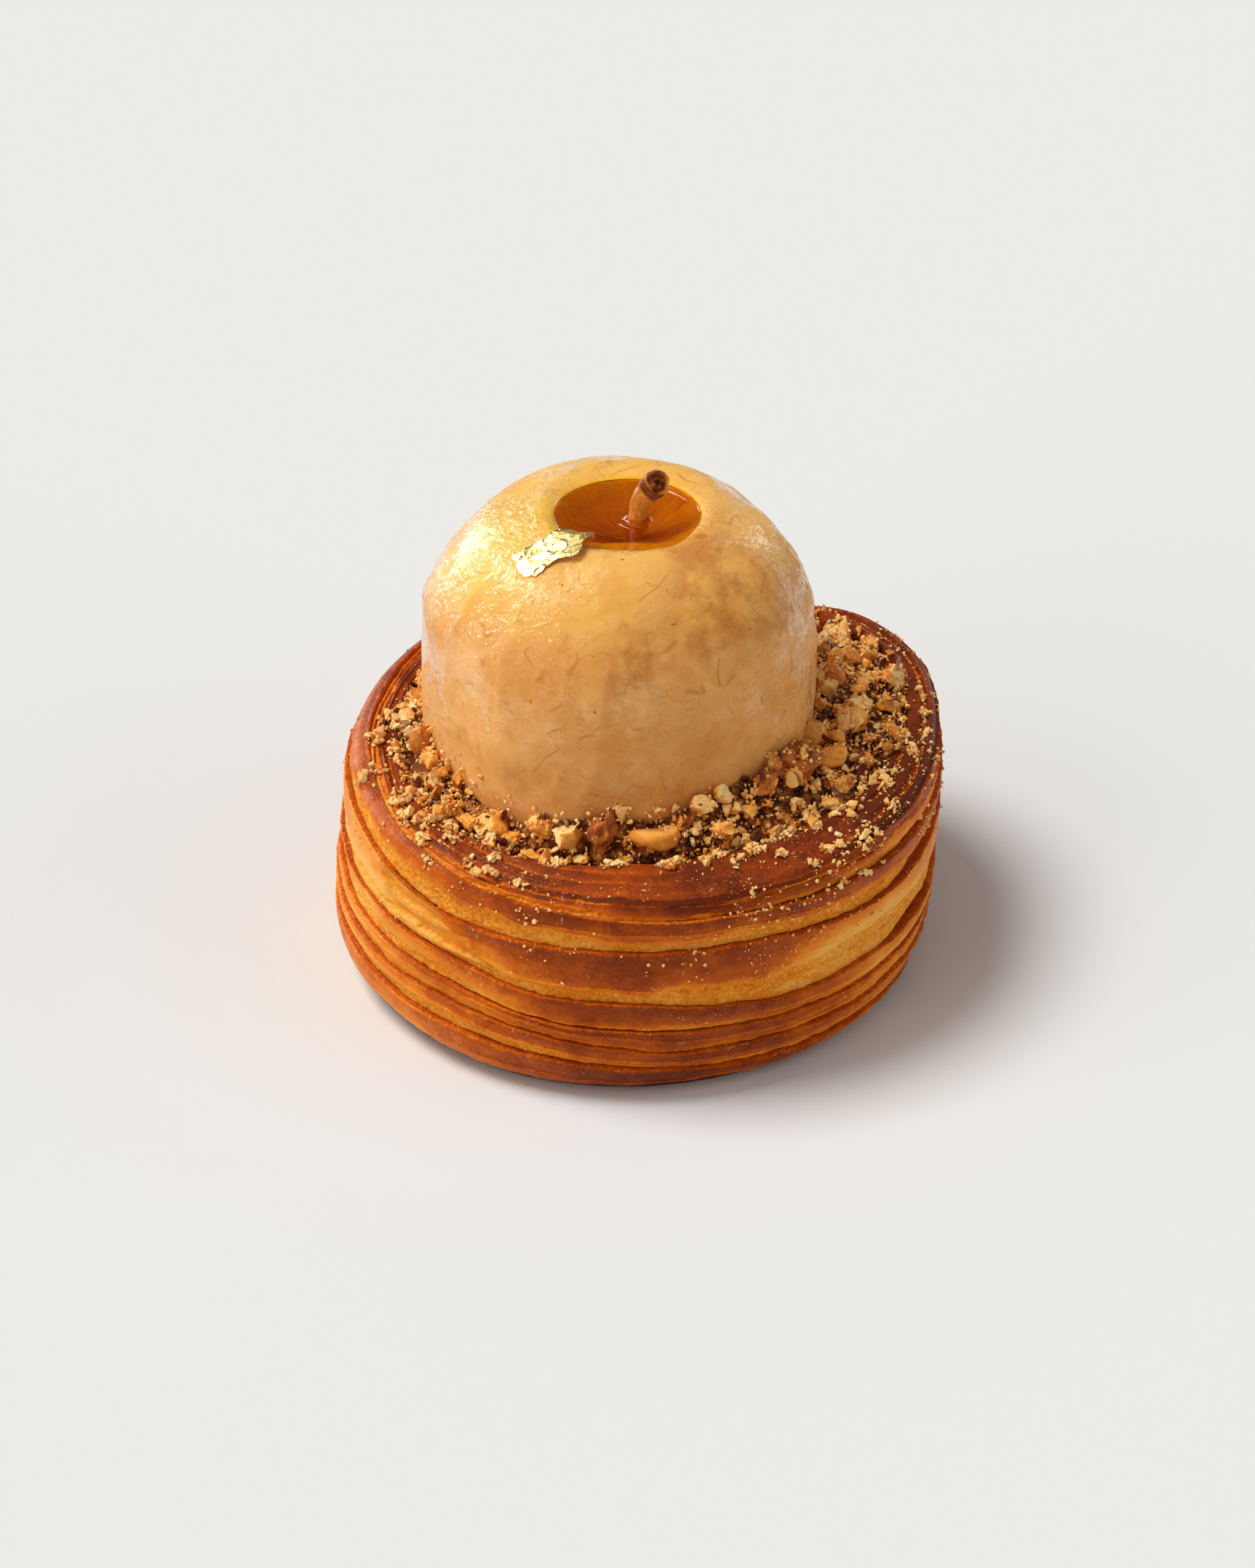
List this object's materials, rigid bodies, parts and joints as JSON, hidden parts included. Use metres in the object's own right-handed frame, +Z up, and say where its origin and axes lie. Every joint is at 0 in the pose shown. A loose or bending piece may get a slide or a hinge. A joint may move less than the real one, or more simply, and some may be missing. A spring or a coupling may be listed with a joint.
{
  "type": "apple tart",
  "caption": "Whole peeled, glazed apple baked in a round of coiled laminated pastry, with chopped nuts round it, syrup and a stalk in its stem hollow, and a scrap of gold leaf.",
  "frame": {"origin": "middle of the bounding box, on the plane of the flat base", "axes": "+Z up along the apple's stalk side, +X to the right and -Y towards the viewer of the picture"},
  "size_m": [0.1036, 0.0996, 0.0889],
  "materials": {
    "pastry_crust": "browned laminated dough, satin on the bands and dry and crumbly between them",
    "apple_flesh": "cooked peeled apple, pale cream, under a clear wet glaze",
    "stalk_bark": "dark dry woody stalk",
    "amber_syrup": "clear amber syrup",
    "gold": "crumpled edible gold leaf",
    "chopped_nut": "roasted chopped hazelnut and almond, dry on the cuts, with dark skins"
  },
  "bodies": {
    "root": {"pastry": "pastry_crust", "apple": "apple_flesh", "stem": "stalk_bark", "syrup": "amber_syrup", "gold_leaf": "gold", "nuts": "chopped_nut"}
  },
  "joints": []
}
